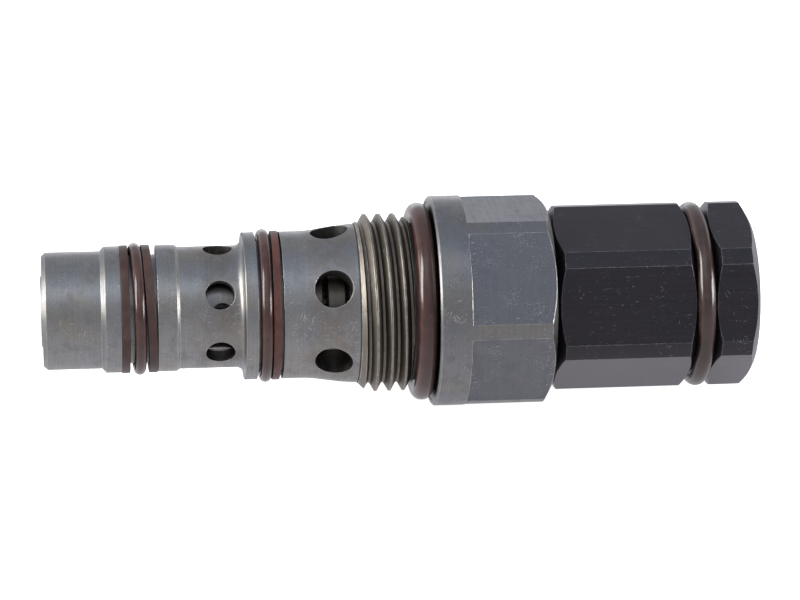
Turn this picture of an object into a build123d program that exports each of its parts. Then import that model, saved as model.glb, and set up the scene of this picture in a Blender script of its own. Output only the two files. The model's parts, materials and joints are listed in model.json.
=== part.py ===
from build123d import *
import os
from math import ceil, cos, pi, radians, sin, sqrt, tan

# Three-port screw-in cartridge valve: a spool that reduces and relieves pressure,
# pushed by one spring whose load is set by a screw in the hexagon spring housing.
#
# Millimetres. The valve lies along X. X = 0 is the flange face that seats on the
# manifold, the nose points to -X and the adjuster to +X. Turns about X start at +Z
# and follow the right-hand rule.

# ---- driving dimensions ------------------------------------------------------

INCH = 25.4

# bar, bore and thread sizes
BODY_BAR_R = 1.25 * INCH / 2            # round bar that the hexagon body is cut from
BODY_FLATS = 1.125 * INCH               # body hexagon, across flats
HOUSING_FLATS = 1.0 * INCH              # spring housing hexagon, across flats
HOUSING_BAR_R = 1.1 * INCH / 2
NOSE_LAND_R = 19.0 / 2                  # lands that fill the two seal bores
CAGE_LAND_R = 22.2 / 2
CAVITY_PITCH = INCH / 12                # 1 1/16 in - 12 cavity thread
CAVITY_CREST_R = 26.84 / 2
TAIL_PITCH = 1.5
TAIL_CREST_R = 9.98                     # M20 x 1.5 tails of the cage and the housing
TAIL_RELIEF_R = 9.0
FINE_PITCH = 1.0
SCREW_CREST_R = 4.98                    # M10 x 1 adjusting screw
BUSH_CREST_R = 5.98                     # M12 x 1 nose bush
THREAD_CLEARANCE = 0.05                 # radial gap from a male crest to its plain female bore
RUNNING_CLEARANCE = 0.02

# where the main pieces start and stop along X
NOSE_TIP = -58.3
CAGE_SHOULDER = -11.3
CAGE_TAIL_END = -0.8
FLANGE_FACE = 0.0
HEX_START = 4.75
BODY_TOP = 17.6
HOUSING_END = 48.55

# hydraulic ports
PORT_COUNT = 6
PORT_TURN = 0.9
SUPPLY_PORT_X = -32.02
SUPPLY_PORT_R = 2.2
TANK_PORT_X = -15.3
TANK_PORT_R = 2.83
SPOOL_HOLE_COUNT = 3
SPOOL_HOLE_R = 1.5
RELIEF_HOLE_R = 1.2

# spool, spring and adjuster
SPOOL_R = 6.35
SPOOL_START = -52.95
SPOOL_END = TANK_PORT_X - 1.15
CHAMBER_START = -18.6                   # the spring chamber opens out here
CHAMBER_R = 7.3
BALL_R = 2.5
SEAT_GAP = 0.5                          # between the spool's end and the spring seat
BALL_X = SPOOL_END + SEAT_GAP / 2
SPRING_START = -13.0
SPRING_END = 20.9
WIRE_R = 1.25
COIL_R = 5.65
COIL_TURNS = 9.5
UPPER_SEAT_END = 26.5
SCREW_STOP = 32.0                       # inner face of the housing's end wall
RECESS_FLOOR = 42.0
RECESS_R = 10.3
SCREW_END = 48.2

# seals
SEAL_SECTION_R = 0.775                  # tube radius of the two cage O-rings
NOSE_GROOVE = (-46.65, -41.25)
NOSE_GROOVE_R = 8.15
CAGE_GROOVE = (-26.44, -22.67)
CAGE_GROOVE_R = 9.76
JOINT_GLAND_START = BODY_TOP - 2.1      # gland between the body and the housing
JOINT_GLAND_R = 11.1
JOINT_SECTION_R = 0.95
BODY_SEAL_SECTION_R = 1.55
BODY_RELIEF_R = 11.85
BAND_X = 40.3                           # centre of the band groove round the housing
BAND_GROOVE_HALF = 1.45
BAND_SECTION_R = 1.31
BAND_GROOVE_R = 11.4

# how far each hexagon or ring of holes is turned about X from one flat or hole up, as is PORT_TURN
HOUSING_TURN = 18.95
SPOOL_TURN = 81.0
NUT_TURN = 8.0

CHAMFER_ANGLE = 30                      # of the turned chamfers on hexagons
THREAD_DEPTH = 0.6134                   # of a 60 degree thread, in pitches
SMALL_CHAMFER = 0.3
TOOL_REACH = 40.0                       # longer than any cut needs


# ---- helpers -----------------------------------------------------------------

def across_x(x=0.0):
    """Plane square to the X axis, its own x axis pointing up."""
    return Plane(origin=(x, 0, 0), x_dir=(0, 0, 1), z_dir=(1, 0, 0))


def turned(*outline, rounds=None, ball_x=None):
    """Solid of revolution about X from (x, radius) points; rounds gives {point: fillet radius}.

    ball_x cuts a pocket for the thrust ball, centred there on the axis.
    """
    profile = make_face(Polyline(*outline, close=True))
    if ball_x is not None:
        profile = profile - Pos(ball_x, 0) * Circle(BALL_R + RUNNING_CLEARANCE)
    for (x, r), fillet_radius in (rounds or {}).items():
        corner = profile.vertices().sort_by_distance(Vector(x, r, 0))[0]
        profile = fillet(corner, fillet_radius)
    return revolve(profile, Axis.X, 360)


def rod(x_start, x_end, radius):
    return turned((x_start, 0), (x_start, radius), (x_end, radius), (x_end, 0))


def washer(x_start, x_end, inner, outer):
    return turned((x_start, inner), (x_start, outer), (x_end, outer), (x_end, inner))


def hex_prism(x_start, x_end, across_flats, turn=0.0):
    """Hexagonal bar with one flat facing up, then turned about X."""
    face = RegularPolygon(across_flats / 2, 6, major_radius=False, rotation=30)
    return extrude(across_x(x_start) * Rot(0, 0, turn) * face, x_end - x_start)


def ring_of_holes(x, radius, count, turn=0.0):
    """Radial drills from the axis outwards, the first one pointing up."""
    drills = [
        Rot(X=turn + 360 / count * i) * Pos(x, 0, TOOL_REACH / 2) * Cylinder(radius, TOOL_REACH)
        for i in range(count)
    ]
    return Part() + drills


def o_ring(x, inner_radius, section_radius):
    centre_radius = inner_radius + section_radius
    return revolve(Pos(x, centre_radius) * Circle(section_radius), Axis.X, 360)


def thread_ridge(crest_radius, pitch, x_start, x_end, crest_x=None):
    """One right-hand 60 degree ridge that covers x_start to x_end, with a crest at the top at crest_x."""
    buried = 0.12                       # how far the ridge's foot reaches into the core
    depth = THREAD_DEPTH * pitch + buried
    crest = pitch / 8
    foot = crest + 2 * depth * tan(radians(30))
    crest_x = x_start if crest_x is None else crest_x
    first_x = crest_x - (ceil((crest_x - x_start) / pitch) + 1) * pitch
    turns = ceil((x_end - first_x) / pitch) + 1
    path = Helix(pitch=pitch, height=turns * pitch, radius=crest_radius)
    section = make_face(
        Polyline(
            (crest_radius - depth, -foot / 2),
            (crest_radius, -crest / 2),
            (crest_radius, crest / 2),
            (crest_radius - depth, foot / 2),
            close=True,
        )
    )
    return across_x(first_x) * sweep(Plane.XZ * section, path=path, is_frenet=True)


def threaded(core, crest_radius, pitch, x_start, x_end, lead=0.0, runout=0.0, crest_x=None):
    """Core with a thread on it. lead and runout are the 45 degree chamfers at its two ends."""
    root = crest_radius - THREAD_DEPTH * pitch
    deep = root - 0.5
    over = crest_radius + 0.02
    envelope = turned(
        (x_start, deep), (x_start, over - lead), (x_start + lead, over),
        (x_end - runout, over), (x_end, over - runout), (x_end, deep),
    )
    ridge = thread_ridge(crest_radius, pitch, x_start, x_end, crest_x)
    return core + (ridge & envelope)


def thread_root(crest_radius, pitch):
    return crest_radius - THREAD_DEPTH * pitch


# ---- cage and what runs in it --------------------------------------------------

def cage():
    """Ported sleeve: nose, two seal grooves, six supply holes, six tank holes and a threaded tail."""
    nose_r, waist_r, shoulder_r = 8.82, 9.18, 12.0
    tail_root = thread_root(TAIL_CREST_R, TAIL_PITCH)
    waist_end = -28.35
    step = (waist_end, waist_r)
    cone_foot, cone_top = (-18.6, CAGE_LAND_R), (-13.9, 11.82)
    outside = turned(
        (NOSE_TIP, 0), (NOSE_TIP, nose_r - 0.6), (NOSE_TIP + 0.6, nose_r),
        (-49.6, nose_r), (-48.95, NOSE_LAND_R),
        (NOSE_GROOVE[0], NOSE_LAND_R), (NOSE_GROOVE[0], NOSE_GROOVE_R),
        (NOSE_GROOVE[1], NOSE_GROOVE_R), (NOSE_GROOVE[1], NOSE_LAND_R),
        (-38.4, NOSE_LAND_R), (-38.0, waist_r),
        step, (waist_end, CAGE_LAND_R),
        (CAGE_GROOVE[0], CAGE_LAND_R), (CAGE_GROOVE[0], CAGE_GROOVE_R),
        (CAGE_GROOVE[1], CAGE_GROOVE_R), (CAGE_GROOVE[1], CAGE_LAND_R),
        cone_foot, cone_top, (CAGE_SHOULDER - 0.3, shoulder_r), (CAGE_SHOULDER, shoulder_r - 0.1),
        (CAGE_SHOULDER, TAIL_RELIEF_R), (-9.8, TAIL_RELIEF_R), (-9.8, tail_root),
        (CAGE_TAIL_END, tail_root),
        (CAGE_TAIL_END, 0),
        rounds={step: 1.2, (waist_end, CAGE_LAND_R): 0.2, cone_foot: 14.0, cone_top: 14.0},
    )
    body = threaded(
        outside, TAIL_CREST_R, TAIL_PITCH, -9.6, CAGE_TAIL_END, lead=0.6, runout=0.8
    )
    spool_bore = SPOOL_R + RUNNING_CLEARANCE
    bush_bore = BUSH_CREST_R + THREAD_CLEARANCE
    groove_r, groove_half = 7.2, 2.7
    inside = turned(
        (NOSE_TIP, 0), (NOSE_TIP, bush_bore + 0.3), (NOSE_TIP + 0.3, bush_bore),
        (-53.0, bush_bore), (-53.0, spool_bore),
        (SUPPLY_PORT_X - groove_half, spool_bore), (SUPPLY_PORT_X - groove_half, groove_r),
        (SUPPLY_PORT_X + groove_half, groove_r), (SUPPLY_PORT_X + groove_half, spool_bore),
        (CHAMBER_START, spool_bore), (CHAMBER_START, CHAMBER_R),
        (CAGE_TAIL_END, CHAMBER_R), (CAGE_TAIL_END, 0),
    )
    supply = ring_of_holes(SUPPLY_PORT_X, SUPPLY_PORT_R, PORT_COUNT, PORT_TURN)
    tank = ring_of_holes(TANK_PORT_X, TANK_PORT_R, PORT_COUNT, PORT_TURN)
    return body - inside - supply - tank


def nose_port_bush():
    """Screwed into the nose: stops the spool, carries the regulated port and stands just proud of it."""
    collar_r, bore_r, socket = 5.42, 2.9, 6.0
    root = thread_root(BUSH_CREST_R, FINE_PITCH)
    proud_end = NOSE_TIP - 0.2
    inner_end = -53.0
    core = turned(
        (proud_end, 0), (proud_end, collar_r - 0.2), (proud_end + 0.2, collar_r),
        (NOSE_TIP + 0.4, collar_r), (NOSE_TIP + 0.6, root), (inner_end, root), (inner_end, 0),
    )
    bush = threaded(core, BUSH_CREST_R, FINE_PITCH, NOSE_TIP + 0.6, inner_end, lead=0.4, runout=0.4)
    mouth = turned(
        (proud_end, 0), (proud_end, 3.75), (proud_end + 0.3, 3.45), (proud_end + 0.3, 0)
    )
    drive = hex_prism(proud_end, proud_end + 3.2, socket)
    return bush - drive - mouth - rod(proud_end, inner_end, bore_r)


def spool():
    """Hollow spool: supply holes in front, relief holes behind, balance grooves on its lands."""
    bore_r, bore_end = 3.4, -21.5
    outside = turned(
        (SPOOL_START, 0), (SPOOL_START, SPOOL_R - SMALL_CHAMFER),
        (SPOOL_START + SMALL_CHAMFER, SPOOL_R),
        (SPOOL_END - SMALL_CHAMFER, SPOOL_R), (SPOOL_END, SPOOL_R - SMALL_CHAMFER),
        (SPOOL_END, 0),
        ball_x=BALL_X,
    )
    drill_point = bore_r / tan(radians(59))
    bore = turned(
        (SPOOL_START, 0), (SPOOL_START, bore_r + 0.4), (SPOOL_START + 0.4, bore_r),
        (bore_end, bore_r), (bore_end + drill_point, 0),
    )
    groove_width, groove_depth = 0.5, 0.35
    grooves = [
        washer(x, x + groove_width, SPOOL_R - groove_depth, SPOOL_R + 1)
        for x in (-50.4, -47.4, -44.4, -41.4, -38.4, -27.2, -25.6)
    ]
    supply = ring_of_holes(SUPPLY_PORT_X + 0.39, SPOOL_HOLE_R, SPOOL_HOLE_COUNT, SPOOL_TURN)
    relief_x = CHAMBER_START - 3.5 - RELIEF_HOLE_R
    relief = ring_of_holes(relief_x, RELIEF_HOLE_R, SPOOL_HOLE_COUNT, SPOOL_TURN + 60)
    return outside - bore - grooves - supply - relief


def thrust_ball():
    """Lets the spring seat tilt a little without pushing the spool sideways."""
    return Pos(BALL_X, 0, 0) * Sphere(BALL_R)


def lower_spring_seat():
    """Disc and spring guide between the ball and the spring."""
    start, disc_r, stem_r, stem_end, drill_r = SPOOL_END + SEAT_GAP, 6.2, 4.1, -5.0, 0.9
    return turned(
        (start, drill_r), (start, disc_r - SMALL_CHAMFER), (start + SMALL_CHAMFER, disc_r),
        (SPRING_START - SMALL_CHAMFER, disc_r), (SPRING_START, disc_r - SMALL_CHAMFER),
        (SPRING_START, stem_r), (stem_end - 0.8, stem_r), (stem_end, stem_r - 0.8),
        (stem_end, drill_r),
        ball_x=BALL_X,
    )


def main_spring():
    """Round-wire compression spring with one closed and ground coil at each end."""
    wire = 2 * WIRE_R
    x_first = SPRING_START + 0.35 * wire
    length = SPRING_END - SPRING_START - 0.7 * wire
    closed_pitch = 1.04 * wire
    open_turns = COIL_TURNS - 2
    open_pitch = (length - 2 * closed_pitch) / open_turns

    def lift(turns):
        if turns < 1:
            return closed_pitch * turns
        if turns < COIL_TURNS - 1:
            return closed_pitch + open_pitch * (turns - 1)
        return length - closed_pitch * (COIL_TURNS - turns)

    steps = 12
    stations = [i / steps for i in range(int(COIL_TURNS * steps) + 1)]
    path = Spline(*[
        (x_first + lift(t), -COIL_R * sin(2 * pi * t), COIL_R * cos(2 * pi * t)) for t in stations
    ])
    section = Plane(origin=path @ 0, z_dir=path % 0) * Circle(WIRE_R)
    coil = sweep(section, path=path, is_frenet=True)
    ground = washer(SPRING_START, SPRING_END, 0.5 * COIL_R, 1.5 * COIL_R)
    return coil & ground


# ---- hexagon body and spring housing ---------------------------------------------

def chamfered_bar(x_start, x_end, bar_r, start_r=None, end_r=None):
    """Round bar whose ends are turned down to start_r and end_r by the hexagon chamfer angle."""
    slope = tan(radians(CHAMFER_ANGLE))
    start_r = bar_r if start_r is None else start_r
    end_r = bar_r if end_r is None else end_r
    outline = [(x_start, 0), (x_start, start_r)]
    if start_r < bar_r:
        outline.append((x_start + (bar_r - start_r) * slope, bar_r))
    if end_r < bar_r:
        outline.append((x_end - (bar_r - end_r) * slope, bar_r))
    outline += [(x_end, end_r), (x_end, 0)]
    return turned(*outline)


def hex_body():
    """Steel adapter: cavity thread, flange, wrench hexagon, and sockets for the cage and housing."""
    root = thread_root(CAVITY_CREST_R, CAVITY_PITCH)
    relief_start = -3.35
    rim = 0.27
    seat_step, seat_step_r = 0.1, 15.1  # the O-ring lies a little below the seating rim
    core = turned(
        (CAGE_SHOULDER, 0), (CAGE_SHOULDER, root), (relief_start - 0.2, root),
        (relief_start, BODY_RELIEF_R), (seat_step, BODY_RELIEF_R), (seat_step, seat_step_r),
        (FLANGE_FACE, seat_step_r), (FLANGE_FACE, BODY_BAR_R - rim), (rim, BODY_BAR_R),
        (HEX_START, BODY_BAR_R), (HEX_START, 0),
    )
    core = threaded(
        core, CAVITY_CREST_R, CAVITY_PITCH, CAGE_SHOULDER, relief_start - 0.1,
        lead=1.4, runout=0.9, crest_x=-9.56,
    )
    top_r = 14.2
    wrench_hex = chamfered_bar(HEX_START, BODY_TOP, BODY_BAR_R, end_r=top_r)
    body = core + (wrench_hex & hex_prism(HEX_START, BODY_TOP, BODY_FLATS))
    socket_r = TAIL_CREST_R + THREAD_CLEARANCE
    cage_floor, housing_floor = CAGE_TAIL_END + 0.2, 6.4
    inside = turned(
        (CAGE_SHOULDER, 0), (CAGE_SHOULDER, socket_r), (cage_floor, socket_r),
        (cage_floor, CHAMBER_R + 0.3), (housing_floor, CHAMBER_R + 0.3),
        (housing_floor, socket_r), (JOINT_GLAND_START, socket_r),
        (JOINT_GLAND_START, JOINT_GLAND_R), (BODY_TOP, JOINT_GLAND_R), (BODY_TOP, 0),
    )
    return body - inside


def spring_housing():
    """Black aluminium hexagon: spring chamber, adjuster thread, nut recess and the band groove."""
    tail_start, relief_start = 6.6, JOINT_GLAND_START - 0.3
    base_r = 12.0
    base = BODY_TOP + 0.32
    root = thread_root(TAIL_CREST_R, TAIL_PITCH)
    slope = tan(radians(CHAMFER_ANGLE))
    tail = turned(
        (tail_start, 0), (tail_start, root), (relief_start, root),
        (relief_start, TAIL_RELIEF_R), (BODY_TOP, TAIL_RELIEF_R), (BODY_TOP, base_r),
        (base, base_r), (base, 0),
    )
    tail = threaded(
        tail, TAIL_CREST_R, TAIL_PITCH, tail_start, relief_start - 0.1, lead=0.8, runout=0.6
    )
    grip = chamfered_bar(base, HOUSING_END, HOUSING_BAR_R, start_r=base_r, end_r=11.8)
    grip = grip & hex_prism(base, HOUSING_END, HOUSING_FLATS, HOUSING_TURN)
    # band groove: a square gland whose mouth opens out at the hexagon chamfer angle
    floor_half = BAND_GROOVE_HALF
    lip_r = HOUSING_FLATS / 2 - 0.25
    mouth_r = HOUSING_BAR_R + 1
    mouth_half = floor_half + (mouth_r - lip_r) * slope
    groove = turned(
        (BAND_X - floor_half, BAND_GROOVE_R), (BAND_X - floor_half, lip_r),
        (BAND_X - mouth_half, mouth_r), (BAND_X + mouth_half, mouth_r),
        (BAND_X + floor_half, lip_r), (BAND_X + floor_half, BAND_GROOVE_R),
    )
    screw_bore = SCREW_CREST_R + THREAD_CLEARANCE
    inside = turned(
        (tail_start, 0), (tail_start, CHAMBER_R + 0.3), (tail_start + 0.3, CHAMBER_R),
        (SCREW_STOP, CHAMBER_R), (SCREW_STOP, screw_bore), (RECESS_FLOOR, screw_bore),
        (RECESS_FLOOR, RECESS_R), (HOUSING_END - 0.4, RECESS_R), (HOUSING_END, RECESS_R + 0.4),
        (HOUSING_END, 0),
    )
    vent = Pos(BAND_X, 0, -TOOL_REACH / 2) * Cylinder(0.6, TOOL_REACH)
    return tail + grip - groove - inside - vent


# ---- adjuster ----------------------------------------------------------------------

def upper_spring_seat():
    """Sealed piston that the screw pushes; its stem guides the spring."""
    shoulder, stem_start, stem_r = 21.5, 14.0, 4.1
    piston_r = CHAMBER_R - 0.05
    groove_start, groove_end, groove_r = 22.9, 24.9, 5.68
    piston = turned(
        (stem_start, 0), (stem_start, stem_r - 0.8), (stem_start + 0.8, stem_r),
        (shoulder, stem_r), (shoulder, piston_r - SMALL_CHAMFER),
        (shoulder + SMALL_CHAMFER, piston_r), (groove_start, piston_r),
        (groove_start, groove_r), (groove_end, groove_r), (groove_end, piston_r),
        (UPPER_SEAT_END - SMALL_CHAMFER, piston_r), (UPPER_SEAT_END, piston_r - SMALL_CHAMFER),
        (UPPER_SEAT_END, 0),
    )
    return piston - rod(UPPER_SEAT_END - 1.0, UPPER_SEAT_END, 3.05)


def preload_shim():
    """Sets the spring's load at the middle of the screw's travel."""
    return washer(SPRING_END, 21.5, 4.2, 7.0)


def adjusting_screw():
    """M10 screw with a pilot, a groove for its stop ring and a hexagon socket."""
    root = thread_root(SCREW_CREST_R, FINE_PITCH)
    pilot_r, groove_r = 3.0, 4.0
    groove_start, groove_end = 27.1, 28.0
    core = turned(
        (UPPER_SEAT_END - 0.97, 0), (UPPER_SEAT_END - 0.97, pilot_r), (UPPER_SEAT_END, pilot_r),
        (UPPER_SEAT_END, 4.6), (groove_start, 4.6), (groove_start, groove_r),
        (groove_end, groove_r), (groove_end, root), (SCREW_END, root), (SCREW_END, 0),
    )
    screw = threaded(core, SCREW_CREST_R, FINE_PITCH, groove_end, SCREW_END, lead=0.5, runout=0.7)
    socket_depth, socket = 5.0, 5.0
    socket_floor = SCREW_END - socket_depth
    drive = hex_prism(socket_floor, SCREW_END, socket, turn=12)
    drill = turned((socket_floor, 2.4), (socket_floor - 1.0, 0), (socket_floor, 0))
    mouth = turned(
        (SCREW_END - 0.35, 0), (SCREW_END - 0.35, 2.6), (SCREW_END, 2.95), (SCREW_END, 0)
    )
    return screw - drive - drill - mouth


def screw_stop_ring():
    """Open ring in the screw's groove; it keeps the screw from coming right out."""
    ring = washer(27.15, 27.95, 4.03, 6.2)
    gap = Pos(27.5, 0, -5) * Box(3, 4.4, 10)
    return ring - gap


def seal_washer():
    return washer(RECESS_FLOOR, RECESS_FLOOR + 1.0, 6.5, 8.6)


def seal_washer_lip():
    """Rubber lip inside the steel washer."""
    return washer(RECESS_FLOOR, RECESS_FLOOR + 1.0, SCREW_CREST_R + 0.1, 6.49)


def lock_nut():
    start, end, across_flats = RECESS_FLOOR + 1.0, RECESS_FLOOR + 5.6, 16.0
    corner_r = across_flats / sqrt(3)
    face_r = across_flats / 2 - 0.2
    bar = chamfered_bar(start, end, corner_r, start_r=face_r, end_r=face_r)
    nut = bar & hex_prism(start, end, across_flats, NUT_TURN)
    bore_r = SCREW_CREST_R + THREAD_CLEARANCE
    bore = turned(
        (start, 0), (start, bore_r + 0.4), (start + 0.4, bore_r),
        (end - 0.4, bore_r), (end, bore_r + 0.4), (end, 0),
    )
    return nut - bore


# ---- seals -------------------------------------------------------------------------

def tilted(shape, x, degrees, towards=0.0):
    """Leans a ring in its groove. The side that moves to +X is turned about X by towards from +Z."""
    return Pos(x, 0, 0) * Rot(X=towards) * Rot(Y=degrees) * Pos(-x, 0, 0) * shape


def backup_ring(x, inner, outer, width):
    """Flat ring with its corners just broken."""
    edge = 0.08
    half = width / 2
    return turned(
        (x - half + edge, inner), (x - half, inner + edge), (x - half, outer - edge),
        (x - half + edge, outer), (x + half - edge, outer), (x + half, outer - edge),
        (x + half, inner + edge), (x + half - edge, inner),
    )


def nose_backup_ring_front():
    return backup_ring(-46.01, NOSE_GROOVE_R + 0.05, NOSE_LAND_R + 0.1, 1.24)


def nose_o_ring():
    x = -44.165
    return tilted(o_ring(x, NOSE_GROOVE_R + 0.01, SEAL_SECTION_R), x, 1.9, 95)


def nose_backup_ring_rear():
    x = -42.38
    ring = backup_ring(x, NOSE_GROOVE_R + 0.07, NOSE_LAND_R + 0.09, 1.3)
    return tilted(ring, x, 2.67, 145)


def cage_o_ring():
    return o_ring(-25.18, CAGE_GROOVE_R + 0.01, SEAL_SECTION_R)


def cage_backup_ring():
    x = -23.54
    ring = backup_ring(x, CAGE_GROOVE_R + 0.05, CAGE_LAND_R + 0.12, 1.12)
    return tilted(ring, x, 0.93, 290)


def body_o_ring():
    x = FLANGE_FACE - BODY_SEAL_SECTION_R - 0.04
    return o_ring(x, BODY_RELIEF_R + 0.01, BODY_SEAL_SECTION_R)


def housing_joint_o_ring():
    x = BODY_TOP - JOINT_SECTION_R - 0.15
    return o_ring(x, TAIL_RELIEF_R + 0.01, JOINT_SECTION_R)


def adjuster_o_ring():
    return o_ring(23.9, 5.69, 0.8)


def vent_band_o_ring():
    """Band round the housing that covers the vent hole and lets air out but no water in."""
    return tilted(o_ring(BAND_X, BAND_GROOVE_R + 0.02, BAND_SECTION_R), BAND_X, -0.55)


PIECES = (
    cage, nose_port_bush, spool, thrust_ball, lower_spring_seat, main_spring,
    hex_body, spring_housing, upper_spring_seat, preload_shim, adjusting_screw,
    screw_stop_ring, seal_washer, seal_washer_lip, lock_nut,
    nose_backup_ring_front, nose_o_ring, nose_backup_ring_rear, cage_o_ring, cage_backup_ring,
    body_o_ring, housing_joint_o_ring, adjuster_o_ring, vent_band_o_ring,
)

os.makedirs("parts", exist_ok=True)
for piece in PIECES:
    export_step(piece(), f"parts/{piece.__name__}.step")
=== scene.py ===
import json
import math

import bpy
from mathutils import Matrix, Vector

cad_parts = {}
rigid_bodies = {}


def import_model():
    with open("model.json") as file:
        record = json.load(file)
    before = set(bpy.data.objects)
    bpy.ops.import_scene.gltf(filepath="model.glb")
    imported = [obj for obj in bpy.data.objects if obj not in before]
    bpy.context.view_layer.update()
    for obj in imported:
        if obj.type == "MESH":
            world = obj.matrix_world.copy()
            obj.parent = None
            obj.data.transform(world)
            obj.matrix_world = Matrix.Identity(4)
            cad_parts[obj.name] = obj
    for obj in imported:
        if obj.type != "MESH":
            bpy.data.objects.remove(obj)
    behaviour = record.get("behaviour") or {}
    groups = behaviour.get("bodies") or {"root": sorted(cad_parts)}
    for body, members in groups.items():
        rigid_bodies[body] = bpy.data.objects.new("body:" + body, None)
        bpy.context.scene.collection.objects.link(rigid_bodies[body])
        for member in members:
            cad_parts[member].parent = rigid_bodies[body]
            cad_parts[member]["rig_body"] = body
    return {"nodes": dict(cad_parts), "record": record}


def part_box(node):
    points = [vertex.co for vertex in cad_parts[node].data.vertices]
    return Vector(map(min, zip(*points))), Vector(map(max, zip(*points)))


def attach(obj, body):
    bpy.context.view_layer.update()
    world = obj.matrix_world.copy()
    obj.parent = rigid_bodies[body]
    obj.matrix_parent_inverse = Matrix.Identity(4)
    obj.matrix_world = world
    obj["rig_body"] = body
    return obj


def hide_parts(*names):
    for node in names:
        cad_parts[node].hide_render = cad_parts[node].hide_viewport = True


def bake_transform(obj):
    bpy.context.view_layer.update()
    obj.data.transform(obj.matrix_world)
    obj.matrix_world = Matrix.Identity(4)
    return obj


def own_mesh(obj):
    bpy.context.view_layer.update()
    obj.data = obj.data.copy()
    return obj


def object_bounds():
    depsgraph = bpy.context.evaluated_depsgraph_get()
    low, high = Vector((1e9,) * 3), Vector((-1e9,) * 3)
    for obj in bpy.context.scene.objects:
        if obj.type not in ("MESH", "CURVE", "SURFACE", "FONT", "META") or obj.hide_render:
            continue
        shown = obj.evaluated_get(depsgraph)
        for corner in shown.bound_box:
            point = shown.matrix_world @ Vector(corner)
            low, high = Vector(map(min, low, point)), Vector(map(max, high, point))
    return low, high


# Looks of a screw-in cartridge valve that lies on a pale floor. The metal parts are the
# CAD nodes with new materials; the rubber and plastic rings and the spring are new meshes.

MM = 0.001
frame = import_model()
CAD_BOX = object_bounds()
CENTRE = (CAD_BOX[0] + CAD_BOX[1]) / 2

# ---- camera, lights and floor: driving values -------------------------------------

CAMERA_AZIMUTH, CAMERA_ELEVATION = -6.12, 18.15    # degrees
CAMERA_ROLL = 0.33
CAMERA_DISTANCE = 509.8 * MM
CAMERA_SENSOR, CAMERA_LENS = 36.0, 151.65         # millimetres of film and lens
CAMERA_AIM = CENTRE + Vector((0.535 * MM, 0, 0.245 * MM))

FLOOR_SIZE = 3.0
FLOOR_WHITE = (0.90, 0.90, 0.91)
FLOOR_MIRRORED = (0.84, 0.83, 0.87)              # how bright the floor looks in the metal
# painted shade and shadow in the floor glow that the metal reflects: darker in front, towards the camera,
# and darker close under the valve
FLOOR_IN_FRONT = (0.62, 0.61, 0.64)
FLOOR_SHADOW_UNDER = 0.80                                # share left of that close under the valve
SKY_BASE = (0.40, 0.41, 0.44)
SKY_PATCHES = (
    # azimuth, elevation, half width in degrees, added brightness
    (180, 0, 15, (0.90, 0.90, 0.93)),             # bright low horizon behind
    (180, 10, 42, (0.22, 0.22, 0.24)),            # pale wall behind
    (-6, 44, 30, (0.22, 0.235, 0.265)),           # in front, above the camera
    (-6, -2, 11, (-0.12, -0.12, -0.11)),          # dim camera side
    (-6, 68, 17, (0.15, 0.20, 0.28)),             # blue cast from high in front
    (0, 98, 22, (0.06, 0.09, 0.14)),              # and from overhead
    (-95, 8, 40, (0.45, 0.44, 0.41)),             # room at the nose end
    (118, -8, 32, (0.90, 0.90, 0.90)),            # pale floor past the adjuster end
)
SOFTBOXES = (
    # name, azimuth, elevation, distance, width, height, brightness, colour
    ("key_left", -75, 26, 0.60, 0.20, 0.46, 11.0, (1.0, 0.99, 0.97)),
    ("key_nose", -97, 13, 0.80, 0.46, 0.34, 2.6, (1.0, 0.98, 0.95)),
    ("fill_front", -20, 50, 0.70, 0.40, 0.30, 0.5, (0.96, 0.98, 1.0)),
    ("key_right", 72, 6, 0.80, 0.42, 0.36, 12.0, (1.0, 0.98, 0.96)),
)


# ---- node material helpers -----------------------------------------------------------

def add(tree, kind, inputs=None, **settings):
    """Adds a shader node and sets its settings and inputs; a socket as an input is linked."""
    node = tree.nodes.new("ShaderNode" + kind)
    for key, value in settings.items():
        setattr(node, key, value)
    for key, value in (inputs or {}).items():
        if isinstance(value, bpy.types.NodeSocket):
            tree.links.new(value, node.inputs[key])
        else:
            node.inputs[key].default_value = value
    return node


def calc(tree, operation, *values):
    return add(tree, "Math", dict(enumerate(values)), operation=operation).outputs[0]


def spread(tree, value, low, high, to_low=0.0, to_high=1.0):
    """Maps low..high to to_low..to_high with soft ends."""
    inputs = {"Value": value, "From Min": low, "From Max": high, "To Min": to_low, "To Max": to_high}
    return add(tree, "MapRange", inputs, interpolation_type="SMOOTHSTEP").outputs[0]


def blend_colours(tree, factor, first, second, how="MIX"):
    def as_colour(value):
        return (*value, 1.0) if isinstance(value, tuple) else value

    inputs = {0: factor, 6: as_colour(first), 7: as_colour(second)}
    return add(tree, "Mix", inputs, data_type="RGBA", blend_type=how).outputs[2]


def place(tree, per_mm):
    """Position on the piece, scaled to so many pattern cells for each millimetre along X, Y and Z."""
    source = add(tree, "TexCoord").outputs["Object"]
    scale = tuple(n / MM for n in per_mm)
    return add(tree, "VectorMath", {0: source, 1: scale}, operation="MULTIPLY").outputs[0]


def grain(tree, per_mm, detail=2.0, roughness=0.5):
    """Smooth random value, 0 to 1, with a mean of 0.5."""
    inputs = {"Vector": place(tree, per_mm), "Scale": 1.0, "Detail": detail, "Roughness": roughness}
    return add(tree, "TexNoise", inputs).outputs[0]


NICK_TURNS = (12, 72, -48)           # degrees about Y
NICK_WIDTH_MM = 0.06
NICK_SIZE = 0.4                      # of a pattern cell


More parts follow.
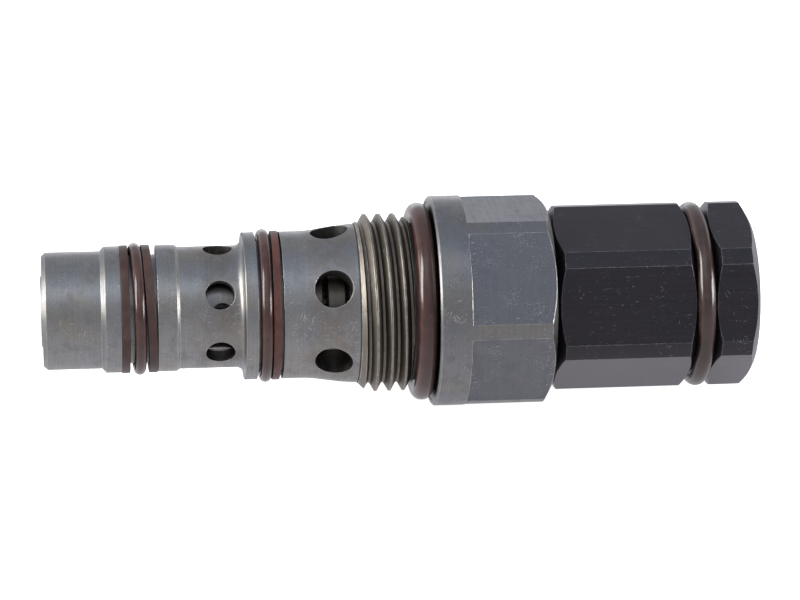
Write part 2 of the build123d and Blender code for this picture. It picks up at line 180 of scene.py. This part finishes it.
def nicks(tree, length_mm, share, seed=0.0):
    """Mask of short, thin, nearly straight scratches in three directions, in loose clusters."""
    source = add(tree, "TexCoord").outputs["Object"]
    bend = add(tree, "TexNoise", {"Vector": place(tree, (0.6, 0.6, 0.6)), "Scale": 1.0}).outputs[1]
    bent = add(tree, "VectorMath", {0: bend, 3: 0.5 * MM}, operation="SCALE").outputs[0]
    moved = add(tree, "VectorMath", {0: source, 1: bent}, operation="ADD").outputs[0]
    across = NICK_SIZE / NICK_WIDTH_MM / MM
    stretch = (NICK_SIZE / length_mm / MM, across, across)
    mask = 0.0
    for count, degrees in enumerate(NICK_TURNS):
        turned = add(tree, "VectorRotate", {"Vector": moved, "Angle": math.radians(degrees)},
                     rotation_type="Y_AXIS").outputs[0]
        stretched = add(tree, "VectorMath", {0: turned, 1: stretch}, operation="MULTIPLY").outputs[0]
        shift = (seed, seed, 3.3 * count)
        shifted = add(tree, "VectorMath", {0: stretched, 1: shift}, operation="ADD").outputs[0]
        cells = add(tree, "TexVoronoi", {"Vector": shifted, "Scale": 1.0})
        line = spread(tree, cells.outputs["Distance"], 0.22, 0.14)
        pick = add(tree, "SeparateColor", {0: cells.outputs["Color"]}).outputs[0]
        chosen = spread(tree, pick, 1 - share, 1.0)
        mask = calc(tree, "MAXIMUM", mask, calc(tree, "MULTIPLY", line, chosen))
    patchy = spread(tree, grain(tree, (0.21,) * 3, detail=1.0), 0.42, 0.62, 0.25, 1.0)
    return calc(tree, "MULTIPLY", mask, patchy)


def specks(tree, cells_per_mm, share, size=0.14):
    """Mask of small round dust spots."""
    cells = add(tree, "TexVoronoi", {"Vector": place(tree, (cells_per_mm,) * 3), "Scale": 1.0})
    spot = spread(tree, cells.outputs["Distance"], size, size * 0.4)
    pick = add(tree, "SeparateColor", {0: cells.outputs["Color"]}).outputs[0]
    chosen = spread(tree, pick, 1 - share, 1.0)
    return calc(tree, "MULTIPLY", spot, chosen)


def worn_edges(tree, radius, start=0.992, full=0.950):
    """Normal that rounds sharp edges, and a patchy mask of edges that turn the normal that much."""
    soft = add(tree, "Bevel", {"Radius": radius}, samples=4).outputs[0]
    hard = add(tree, "NewGeometry").outputs["Normal"]
    likeness = add(tree, "VectorMath", {0: soft, 1: hard}, operation="DOT_PRODUCT").outputs["Value"]
    rubbed = spread(tree, grain(tree, (0.8, 0.8, 0.8), detail=3.0), 0.35, 0.65, 0.35, 1.0)
    return soft, calc(tree, "MULTIPLY", spread(tree, likeness, start, full), rubbed)


def milled_flats(tree, start):
    """Mask of the flats of a hexagon with one flat facing up, past start millimetres along X."""
    facing = add(tree, "SeparateXYZ", {0: add(tree, "NewGeometry").outputs["True Normal"]}).outputs
    turn = calc(tree, "ARCTAN2", facing["Y"], facing["Z"])
    flat = spread(tree, calc(tree, "COSINE", calc(tree, "MULTIPLY", turn, 6.0)), 0.95, 0.985)
    upright = spread(tree, calc(tree, "ABSOLUTE", facing["X"]), 0.15, 0.05)
    along = add(tree, "SeparateXYZ", {0: place(tree, (1.0, 1.0, 1.0))}).outputs["X"]
    past = spread(tree, along, start, start + 0.05)
    return calc(tree, "MULTIPLY", calc(tree, "MULTIPLY", flat, upright), past)


def port_stains(tree, port_x, reach, outer_r):
    """Mask that fades out from six ports around the axis, the first one up; all sizes in millimetres."""
    spot = add(tree, "SeparateXYZ", {0: place(tree, (1.0, 1.0, 1.0))}).outputs
    turn = calc(tree, "ARCTAN2", spot["Y"], spot["Z"])
    sixfold = calc(tree, "COSINE", calc(tree, "MULTIPLY", turn, 6.0))
    around = calc(tree, "MULTIPLY", calc(tree, "SUBTRACT", 1.0, sixfold), (outer_r / reach) ** 2 / 18)
    along = calc(tree, "MULTIPLY", calc(tree, "SUBTRACT", spot["X"], port_x), 1 / reach)
    away = calc(tree, "ADD", calc(tree, "MULTIPLY", along, along), around)
    patchy = spread(tree, grain(tree, (0.5, 0.5, 0.5), detail=3.0), 0.35, 0.62, 0.25, 1.0)
    return calc(tree, "MULTIPLY", spread(tree, away, 1.0, 0.25), patchy)


def openness(tree, reach_mm, low, high):
    """0 deep in narrow gaps and holes, 1 on open faces."""
    seen = add(tree, "AmbientOcclusion", {"Distance": reach_mm * MM}, samples=8).outputs["AO"]
    return spread(tree, seen, low, high)


def new_material(name):
    material = bpy.data.materials.new(name)
    material.use_nodes = True
    material.node_tree.nodes.clear()
    return material, material.node_tree


def surface(tree, inputs):
    """Principled shader wired to the output."""
    shader = add(tree, "BsdfPrincipled", inputs)
    add(tree, "OutputMaterial", {"Surface": shader.outputs[0]})


def bump(tree, height, distance_mm, normal=None):
    inputs = {"Height": height, "Distance": distance_mm * MM, "Strength": 1.0}
    if normal is not None:
        inputs["Normal"] = normal
    return add(tree, "Bump", inputs).outputs[0]


# ---- materials -----------------------------------------------------------------------

ROUND_MARKS = (7.0, 0.10, 0.10)      # cells per mm: lines that run round the X axis
LONG_MARKS = (0.06, 7.0, 7.0)        # lines that run along the X axis
# near-black colour of painted shade in the crevices of moulded parts
CREVICE_SHADE = (0.012, 0.011, 0.010)
WHITE = (1.0, 1.0, 1.0)
BARE_EDGE = (0.80, 0.79, 0.75)       # rubbed steel
BROWN_STAIN = (0.215, 0.180, 0.150)
WORN_EDGE_R = 0.14 * MM


def worked_steel(name, colour, warm, cool, marks, roughness, scratch_share, edge_share=0.60, reach_mm=1.6,
                 gap=(0.10, 0.45), shade=(0.14, 0.13, 0.12), zone=None, flats=None, ports=()):
    """Turned or milled steel with oil stains, tool marks, pits, scratches, rubbed edges and painted shade
    in gaps.

    Painted shade in gaps and holes goes down to shade times the colour. zone is (start X, end X, colour,
    darkest and lightest openness) for a stretch of another tint with its own painted shade in gaps, and
    flats is (start X, colour) for the milled flats of a hexagon. ports lists (X, reach, outer radius) of
    rings of ports with brown stains around them.
    Those sizes are in millimetres.
    """
    material, tree = new_material(name)
    normal, edges = worn_edges(tree, WORN_EDGE_R)
    stain = spread(tree, grain(tree, (0.16, 0.16, 0.16), detail=4.0, roughness=0.6), 0.38, 0.74)
    haze = spread(tree, grain(tree, (0.07, 0.11, 0.11), detail=3.0), 0.34, 0.70)
    smudge = spread(tree, grain(tree, (0.45, 0.45, 0.45), detail=4.0, roughness=0.65), 0.46, 0.72)
    lines = grain(tree, marks, detail=3.0, roughness=0.7)
    fine = grain(tree, (3.5, 3.5, 3.5), detail=3.0, roughness=0.7)
    tone = blend_colours(tree, haze, colour, cool)
    tone = blend_colours(tree, calc(tree, "MULTIPLY", stain, 0.9), tone, warm)
    if zone is not None:
        start, end, tint, dark_gap, light_gap = zone
        along = add(tree, "SeparateXYZ", {0: place(tree, (1.0, 1.0, 1.0))}).outputs["X"]
        after_start = spread(tree, along, start - 0.1, start)
        inside = calc(tree, "MULTIPLY", after_start, spread(tree, along, end + 0.1, end))
        tone = blend_colours(tree, calc(tree, "MULTIPLY", inside, 0.9), tone, tint)
    for port_x, reach, outer_r in ports:
        stained = calc(tree, "MULTIPLY", port_stains(tree, port_x, reach, outer_r), 0.55)
        tone = blend_colours(tree, stained, tone, BROWN_STAIN)
    if flats is not None:
        flats_start, flats_colour = flats
        milled = calc(tree, "MULTIPLY", milled_flats(tree, flats_start), 0.85)
        tone = blend_colours(tree, milled, tone, flats_colour)
    tone = blend_colours(tree, calc(tree, "MULTIPLY", smudge, 0.30), tone, (0.12, 0.12, 0.13))
    tone = blend_colours(tree, spread(tree, lines, 0.30, 0.75, 0.0, 0.20), tone, (0.10, 0.10, 0.11))
    tone = blend_colours(tree, spread(tree, fine, 0.52, 0.76, 0.0, 0.40), tone, (0.09, 0.085, 0.08))
    marks_mask = calc(tree, "MAXIMUM", nicks(tree, 1.6, scratch_share), specks(tree, 2.4, 0.16))
    pits = specks(tree, 2.2, 0.16, size=0.10)
    tone = blend_colours(tree, calc(tree, "MULTIPLY", edges, edge_share), tone, BARE_EDGE)
    tone = blend_colours(tree, calc(tree, "MULTIPLY", marks_mask, 0.75), tone, (0.80, 0.80, 0.78))
    tone = blend_colours(tree, calc(tree, "MULTIPLY", pits, 0.55), tone, (0.04, 0.04, 0.04))
    # painted shade: ambient occlusion darkens the colour in gaps, holes and thread valleys, down to shade
    # times the colour; a zone paints its own
    unshaded_share = openness(tree, reach_mm, *gap)
    if zone is not None:
        deep = openness(tree, reach_mm, dark_gap, light_gap)
        unshaded_share = add(tree, "Mix", {0: inside, 2: unshaded_share, 3: deep}).outputs[0]
    tone = blend_colours(tree, 1.0, tone, blend_colours(tree, unshaded_share, shade, WHITE), how="MULTIPLY")
    rough = spread(tree, lines, 0.2, 0.8, roughness - 0.06, roughness + 0.06)
    rough = calc(tree, "ADD", rough, calc(tree, "MULTIPLY", smudge, 0.07))
    if zone is not None:
        rough = calc(tree, "ADD", rough, calc(tree, "MULTIPLY", inside, 0.10))
    height = calc(tree, "ADD", lines, calc(tree, "MULTIPLY", fine, 0.35))
    shaped = bump(tree, height, 0.005, normal)
    shaped = bump(tree, marks_mask, 0.008, shaped)
    surface(tree, {
        "Base Color": tone, "Metallic": 1.0, "Roughness": rough, "Normal": shaped,
    })
    return material


def black_anodised(name):
    """Milled aluminium under a satin black coat: long lines, rubbed edges, white nicks, a bright rim."""
    material, tree = new_material(name)
    normal, edges = worn_edges(tree, WORN_EDGE_R, 0.996, 0.970)
    lines = grain(tree, LONG_MARKS, detail=3.0, roughness=0.75)
    cloud = grain(tree, (0.12, 0.2, 0.2), detail=2.0)
    fine = grain(tree, (4.0, 4.0, 4.0), detail=3.0, roughness=0.7)
    clouded = spread(tree, cloud, 0.30, 0.75)
    tone = blend_colours(tree, clouded, (0.0030, 0.0024, 0.0038), (0.006, 0.0040, 0.0052))
    tone = blend_colours(tree, spread(tree, lines, 0.35, 0.8, 0.0, 0.5), tone, (0.014, 0.013, 0.016))
    tone = blend_colours(tree, spread(tree, fine, 0.54, 0.78, 0.0, 0.6), tone, (0.030, 0.028, 0.032))
    tone = blend_colours(tree, calc(tree, "MULTIPLY", edges, 0.70), tone, (0.26, 0.26, 0.29))
    spots = specks(tree, 1.9, 0.24, size=0.11)
    marks_mask = calc(tree, "MAXIMUM", nicks(tree, 1.5, 0.16, seed=4.0), spots)
    tone = blend_colours(tree, calc(tree, "MULTIPLY", marks_mask, 0.60), tone, (0.36, 0.36, 0.39))
    rough = spread(tree, lines, 0.2, 0.8, 0.26, 0.38)
    shaped = bump(tree, lines, 0.006, normal)
    aside = add(tree, "LayerWeight", {"Blend": 0.5, "Normal": shaped}).outputs["Facing"]
    index = spread(tree, aside, 0.36, 0.68, 1.53, 2.25)
    surface(tree, {
        "Base Color": tone, "Roughness": rough, "Normal": shaped, "IOR": index,
        "Specular Tint": (0.94, 0.90, 1.0, 1.0),
    })
    return material


def moulded(name, colour, light, roughness, gloss=0.5):
    """Rubber or filled plastic with faint mottling, scuffs, dust and painted shade in crevices."""
    material, tree = new_material(name)
    cloud = grain(tree, (0.35, 0.35, 0.35), detail=2.0)
    fine = grain(tree, (5.0, 5.0, 5.0), detail=3.0, roughness=0.7)
    scuff = grain(tree, (1.2, 1.2, 1.2), detail=4.0, roughness=0.75)
    tone = blend_colours(tree, spread(tree, cloud, 0.35, 0.7), colour, light)
    tone = blend_colours(tree, spread(tree, fine, 0.60, 0.85, 0.0, 0.3), tone, light)
    dust = calc(tree, "MAXIMUM", specks(tree, 2.1, 0.10), nicks(tree, 1.0, 0.10, seed=2.0))
    tone = blend_colours(tree, calc(tree, "MULTIPLY", dust, 0.35), tone, (0.42, 0.38, 0.36))
    # painted shade: the colour goes darker in crevices and gaps, by ambient occlusion
    tone = blend_colours(tree, openness(tree, 1.2, 0.25, 0.65), CREVICE_SHADE, tone)
    rough = spread(tree, scuff, 0.3, 0.75, roughness - 0.04, roughness + 0.08)
    shaped = bump(tree, calc(tree, "ADD", fine, scuff), 0.004)
    surface(tree, {
        "Base Color": tone, "Roughness": rough, "Normal": shaped, "Specular IOR Level": gloss,
    })
    return material


# Places along X, in millimetres, that materials follow.
SUPPLY_STAIN = (-32.02, 4.2, 8.6)    # X, reach, outer radius
TANK_STAIN = (-15.3, 5.4, 10.9)
THREAD_START, THREAD_END = -11.4, -3.5
HEXAGON_START = 4.8
SEAT_START, SEAT_END = -18.6, 0.0    # of the moving parts that a tank port shows

MATERIALS = {
    "cage_steel": worked_steel(
        "cage_steel", (0.306, 0.306, 0.306), (0.312, 0.292, 0.258), (0.278, 0.290, 0.308), ROUND_MARKS,
        roughness=0.36, scratch_share=0.36, gap=(0.05, 0.38), ports=(SUPPLY_STAIN, TANK_STAIN)),
    "body_steel": worked_steel(
        "body_steel", (0.245, 0.247, 0.258), (0.260, 0.250, 0.225), (0.215, 0.228, 0.255), ROUND_MARKS,
        roughness=0.34, scratch_share=0.46, edge_share=0.85, gap=(0.25, 0.62), shade=(0.30, 0.27, 0.24),
        zone=(THREAD_START, THREAD_END, (0.255, 0.220, 0.178), 0.26, 0.90),
        flats=(HEXAGON_START, (0.160, 0.166, 0.186))),
    "spool_steel": worked_steel(
        "spool_steel", (0.24, 0.24, 0.25), (0.22, 0.205, 0.18), (0.225, 0.23, 0.25), ROUND_MARKS,
        roughness=0.30, scratch_share=0.15, reach_mm=3.0, gap=(0.0, 0.30), shade=(0.45, 0.43, 0.40),
        zone=(SEAT_START, SEAT_END, (0.150, 0.135, 0.105), 0.0, 0.30)),
    "ball_steel": worked_steel(
        "ball_steel", (0.62, 0.62, 0.63), (0.58, 0.56, 0.54), (0.60, 0.61, 0.63), ROUND_MARKS,
        roughness=0.15, scratch_share=0.10),
    "spring_steel": worked_steel(
        "spring_steel", (0.24, 0.24, 0.25), (0.23, 0.20, 0.17), (0.21, 0.22, 0.25),
        (1.2, 1.2, 1.2), roughness=0.34, scratch_share=0.15),
    "zinc_hardware": worked_steel(
        "zinc_hardware", (0.48, 0.48, 0.47), (0.46, 0.43, 0.37), (0.44, 0.455, 0.49),
        (2.0, 2.0, 2.0), roughness=0.30, scratch_share=0.16),
    "black_anodised": black_anodised("black_anodised"),
    "seal_brown": moulded(
        "seal_brown", (0.048, 0.021, 0.018), (0.070, 0.036, 0.031), 0.15, gloss=0.55),
    "seal_dark_brown": moulded(
        "seal_dark_brown", (0.041, 0.0135, 0.0105), (0.060, 0.024, 0.020), 0.17, gloss=0.70),
    "seal_grey_brown": moulded(
        "seal_grey_brown", (0.032, 0.0160, 0.0130), (0.050, 0.029, 0.025), 0.18, gloss=0.65),
    "backup_brown": moulded(
        "backup_brown", (0.046, 0.023, 0.018), (0.068, 0.038, 0.031), 0.42, gloss=0.4),
    "backup_red_brown": moulded(
        "backup_red_brown", (0.070, 0.024, 0.017), (0.108, 0.043, 0.034), 0.42, gloss=0.4),
    "black_rubber": moulded("black_rubber", (0.014, 0.014, 0.014), (0.024, 0.023, 0.023), 0.40),
}
SLOT_OF = {part["node"]: part["material_slot"] for part in frame["record"]["subparts"]}


def dress(obj, slot):
    obj.data.materials.clear()
    obj.data.materials.append(MATERIALS[slot])


for node_name, node in frame["nodes"].items():
    dress(node, SLOT_OF[node_name])


# ---- rings and spring ------------------------------------------------------------------

def new_piece(name, node_name, points, faces):
    """Smooth mesh piece that stands for a CAD node, in that node's finish."""
    mesh = bpy.data.meshes.new(name)
    mesh.from_pydata([tuple(p) for p in points], [], faces)
    mesh.shade_smooth()
    obj = bpy.data.objects.new(name, mesh)
    bpy.context.scene.collection.objects.link(obj)
    dress(obj, SLOT_OF[node_name])
    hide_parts(node_name)
    return obj


def o_ring_section(radius, flat=0.0, flash=0.0, steps=40):
    """Points of a round section as (along X, outwards).

    flat presses its outside in, and flash raises its mould line.
    """
    points = []
    for i in range(steps):
        a = 2 * math.pi * i / steps
        along, out = radius * math.cos(a), radius * math.sin(a)
        if out > 0:
            out -= flat * radius * (out / radius) ** 4
        ridge = flash * math.exp(-((along / (0.09 * radius)) ** 2)) if out > 0 else 0.0
        points.append((along, out + ridge))
    return points


def flat_section(half_width, half_height, corner, steps=6):
    """Rectangle with rounded corners as (along X, outwards)."""
    points = []
    for quarter, (sx, sr) in enumerate(((1, 1), (-1, 1), (-1, -1), (1, -1))):
        for i in range(steps + 1):
            a = math.radians(90 * (quarter + i / steps))
            points.append((
                sx * (half_width - corner) + corner * math.cos(a),
                sr * (half_height - corner) + corner * math.sin(a),
            ))
    return points


def ring_piece(name, node_name, section, centre_r, lean=0.0, towards=0.0, waver=0.0, phase=0.0, around=288):
    """Ring about the X axis at the CAD node's place.

    lean tips it, and the side at the turn towards, counted from the top, moves to +X. waver is how
    far it strays along X.
    """
    low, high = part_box(node_name)
    centre_x = (low.x + high.x) / 2
    slope = math.tan(math.radians(lean))
    count = len(section)
    points, faces = [], []
    for i in range(around):
        a = 2 * math.pi * i / around
        slow, quick = math.sin(2 * a + phase), math.sin(3 * a + 2.1 * phase)
        stray = waver * (slow + 0.5 * quick + 0.3 * math.sin(7 * a))
        twist = 0.5 * waver / MM * math.sin(2 * a + 1.3 + phase)
        for along, out in section:
            turned_along = along * math.cos(twist) - out * math.sin(twist)
            turned_out = along * math.sin(twist) + out * math.cos(twist)
            r = centre_r + turned_out
            x = centre_x + stray + turned_along + slope * r * math.cos(a - math.radians(towards))
            points.append((x, -r * math.sin(a), r * math.cos(a)))
    for i in range(around):
        for j in range(count):
            k, m = (i + 1) % around, (j + 1) % count
            faces.append((i * count + j, i * count + m, k * count + m, k * count + j))
    piece = new_piece(name, node_name, points, faces)
    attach(piece, frame["nodes"][node_name]["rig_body"])
    return piece


def outer_radius(node_name):
    """Outer radius of a ring node."""
    low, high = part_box(node_name)
    return (high.y - low.y) / 2


ROUND_RINGS = (
    # node, inner radius mm, section radius mm, lean, towards, waver mm, pressed flat, mould line mm
    ("nose_o_ring", 8.16, 0.89, 2.03, 111, 0.02, 0.02, 0.02),
    ("cage_o_ring", 9.77, 0.89, 0.0, 0, 0.015, 0.02, 0.02),
    ("body_o_ring", 11.86, 1.55, 0.0, 0, 0.0, 0.02, 0.0),
    ("vent_band_o_ring", 11.42, 1.31, -0.55, 0, 0.012, 0.03, 0.0),
    ("housing_joint_o_ring", 9.01, 0.95, 0.0, 0, 0.0, 0.0, 0.0),
    ("adjuster_o_ring", 5.69, 0.80, 0.0, 0, 0.0, 0.0, 0.0),
)
for phase, (node_name, inner, section_mm, lean, towards, waver, flat, flash) in enumerate(ROUND_RINGS):
    ring_piece(
        node_name + "_rubber", node_name, o_ring_section(section_mm * MM, flat, flash * MM),
        (inner + section_mm) * MM, lean, towards, waver * MM, phase,
    )

FLAT_RINGS = (
    # node, width mm, height mm, corner mm, lean, towards, waver mm
    ("nose_backup_ring_front", 1.22, 1.38, 0.10, 0.0, 0, 0.006),
    ("nose_backup_ring_rear", 1.28, 1.36, 0.10, 2.67, 145, 0.006),
    ("cage_backup_ring", 1.10, 1.38, 0.10, 0.93, 290, 0.006),
    ("seal_washer_lip", 0.98, 1.38, 0.22, 0.0, 0, 0.0),
)
for phase, (node_name, width, height, corner, lean, towards, waver) in enumerate(FLAT_RINGS):
    ring_piece(
        node_name + "_moulded", node_name, flat_section(width / 2 * MM, height / 2 * MM, corner * MM),
        outer_radius(node_name) - height / 2 * MM, lean, towards, waver * MM, phase + 0.7,
    )


SPRING_WIRE_R, SPRING_COIL_R, SPRING_TURNS = 1.25 * MM, 5.65 * MM, 9.5
SPRING_CLOSED_PITCH = 2.6 * MM
SPRING_SPLIT = 8.0 * MM                 # the spool presses the part below, the screw the part above


def spring_path(low, high):
    """Turns of the wire and where its centre is along X, from the lower seat to the upper one."""
    first = low.x + 0.7 * SPRING_WIRE_R
    length = high.x - low.x - 1.4 * SPRING_WIRE_R
    open_pitch = (length - 2 * SPRING_CLOSED_PITCH) / (SPRING_TURNS - 2)

    def lift(turn):
        closed = min(turn, 1.0) + max(turn - SPRING_TURNS + 1, 0.0)
        return first + closed * SPRING_CLOSED_PITCH + (turn - closed) * open_pitch

    return lift


def spring_piece(name, low, high, first_turn, last_turn, steps=40, around=20):
    """Round wire wound about the X axis, ground flat where it meets the seats."""
    lift = spring_path(low, high)
    count = max(2, round((last_turn - first_turn) * steps))
    points = []
    for i in range(count + 1):
        turn = first_turn + (last_turn - first_turn) * i / count
        a = 2 * math.pi * turn
        outwards = Vector((0, -math.sin(a), math.cos(a)))
        rise = (lift(turn + 0.01) - lift(turn - 0.01)) / 0.02
        along = Vector((rise, -2 * math.pi * SPRING_COIL_R * math.cos(a),
                        -2 * math.pi * SPRING_COIL_R * math.sin(a))).normalized()
        aside = along.cross(outwards)
        centre = Vector((lift(turn), 0, 0)) + SPRING_COIL_R * outwards
        for j in range(around):
            b = 2 * math.pi * j / around
            point = centre + SPRING_WIRE_R * (math.cos(b) * outwards + math.sin(b) * aside)
            point.x = min(max(point.x, low.x), high.x)
            points.append(point)
    faces = [tuple(range(around)), tuple(reversed(range(count * around, (count + 1) * around)))]
    for i in range(count):
        for j in range(around):
            k, m = i + 1, (j + 1) % around
            faces.append((i * around + j, i * around + m, k * around + m, k * around + j))
    return new_piece(name, "main_spring", points, faces)


def make_spring():
    low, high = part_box("main_spring")
    lift = spring_path(low, high)
    split_turn = next(t / 400 for t in range(4000) if lift(t / 400) > SPRING_SPLIT)
    lower = spring_piece("main_spring_lower", low, high, 0.0, split_turn)
    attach(lower, "valve_body")
    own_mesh(lower)
    upper = spring_piece("main_spring_upper", low, high, split_turn, SPRING_TURNS)
    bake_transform(upper)


make_spring()


# ---- floor, light and camera -------------------------------------------------------------

def direction(azimuth, elevation):
    """From the object towards a place: azimuth 0 is -Y, and 90 is +X."""
    a, e = math.radians(azimuth), math.radians(elevation)
    return Vector((math.sin(a) * math.cos(e), -math.cos(a) * math.cos(e), math.sin(e)))


def make_floor():
    """Paper that the lamps light for the camera, and a glow in reflections, with painted shade that darkens
    it in front and a painted shadow close under the valve.
    """
    half = FLOOR_SIZE / 2
    mesh = bpy.data.meshes.new("floor")
    z = CAD_BOX[0].z
    corners = [(-half, -half, z), (half, -half, z), (half, half, z), (-half, half, z)]
    mesh.from_pydata(corners, [], [(0, 1, 2, 3)])
    floor = bpy.data.objects.new("floor", mesh)
    bpy.context.scene.collection.objects.link(floor)
    material, tree = new_material("floor_white")
    paper = add(tree, "BsdfDiffuse", {"Color": (*FLOOR_WHITE, 1.0)}).outputs[0]
    glow = add(tree, "Emission", {"Color": (*WHITE, 1.0), "Strength": 0.92}).outputs[0]
    lit = add(tree, "AddShader", {0: paper, 1: glow}).outputs[0]
    depth = add(tree, "SeparateXYZ", {0: place(tree, (1.0, 1.0, 1.0))}).outputs["Y"]
    # painted shade: the glow in reflections is darker in front, towards the camera
    even = blend_colours(tree, spread(tree, depth, -60.0, 5.0), FLOOR_IN_FRONT, FLOOR_MIRRORED)
    # painted shadow: the glow in reflections is darker close under the valve, by ambient occlusion
    away = calc(tree, "MULTIPLY", openness(tree, 10.0, 0.10, 0.70), 1 - FLOOR_SHADOW_UNDER)
    open_share = calc(tree, "ADD", away, FLOOR_SHADOW_UNDER)
    shade = add(tree, "VectorMath", {0: even, 3: open_share}, operation="SCALE").outputs[0]
    mirrored = add(tree, "Emission", {"Color": shade, "Strength": 1.0}).outputs[0]
    seen = add(tree, "LightPath").outputs["Is Camera Ray"]
    shader = add(tree, "MixShader", {0: seen, 1: mirrored, 2: lit}).outputs[0]
    add(tree, "OutputMaterial", {"Surface": shader})
    mesh.materials.append(material)


def make_sky():
    """Dim room with soft pale patches, as the metal reflects it."""
    world = bpy.data.worlds.new("studio")
    bpy.context.scene.world = world
    world.use_nodes = True
    tree = world.node_tree
    tree.nodes.clear()
    towards = add(tree, "TexCoord").outputs["Generated"]
    colour = SKY_BASE
    for azimuth, elevation, half_width, brightness in SKY_PATCHES:
        centre = tuple(direction(azimuth, elevation))
        likeness = add(tree, "VectorMath", {0: towards, 1: centre}, operation="DOT_PRODUCT")
        edge = math.cos(math.radians(half_width * 1.5))
        share = spread(tree, likeness.outputs["Value"], edge, 1.0)
        colour = blend_colours(tree, share, colour, brightness, how="ADD")
    glow = add(tree, "Background", {"Color": colour, "Strength": 1.0}).outputs[0]
    add(tree, "OutputWorld", {"Surface": glow})


def make_softbox(name, azimuth, elevation, distance, width, height, brightness, colour):
    light = bpy.data.lights.new(name, "AREA")
    light.shape = "RECTANGLE"
    light.size, light.size_y = width, height
    light.energy = brightness * math.pi * width * height
    light.color = colour
    lamp = bpy.data.objects.new(name, light)
    towards = direction(azimuth, elevation)
    lamp.location = CENTRE + towards * distance
    lamp.rotation_euler = (-towards).to_track_quat("-Z", "Y").to_euler()
    bpy.context.scene.collection.objects.link(lamp)


def make_camera():
    data = bpy.data.cameras.new("camera")
    data.sensor_width, data.lens = CAMERA_SENSOR, CAMERA_LENS
    data.clip_start, data.clip_end = 0.01, 10.0
    camera = bpy.data.objects.new("camera", data)
    back = direction(CAMERA_AZIMUTH, CAMERA_ELEVATION)
    camera.location = CAMERA_AIM + back * CAMERA_DISTANCE
    level = (-back).to_track_quat("-Z", "Y").to_matrix()
    camera.rotation_euler = (level @ Matrix.Rotation(math.radians(CAMERA_ROLL), 3, "Z")).to_euler()
    bpy.context.scene.collection.objects.link(camera)
    bpy.context.scene.camera = camera


make_floor()
make_sky()
for softbox in SOFTBOXES:
    make_softbox(*softbox)
make_camera()
bpy.context.scene.view_settings.view_transform = "Standard"
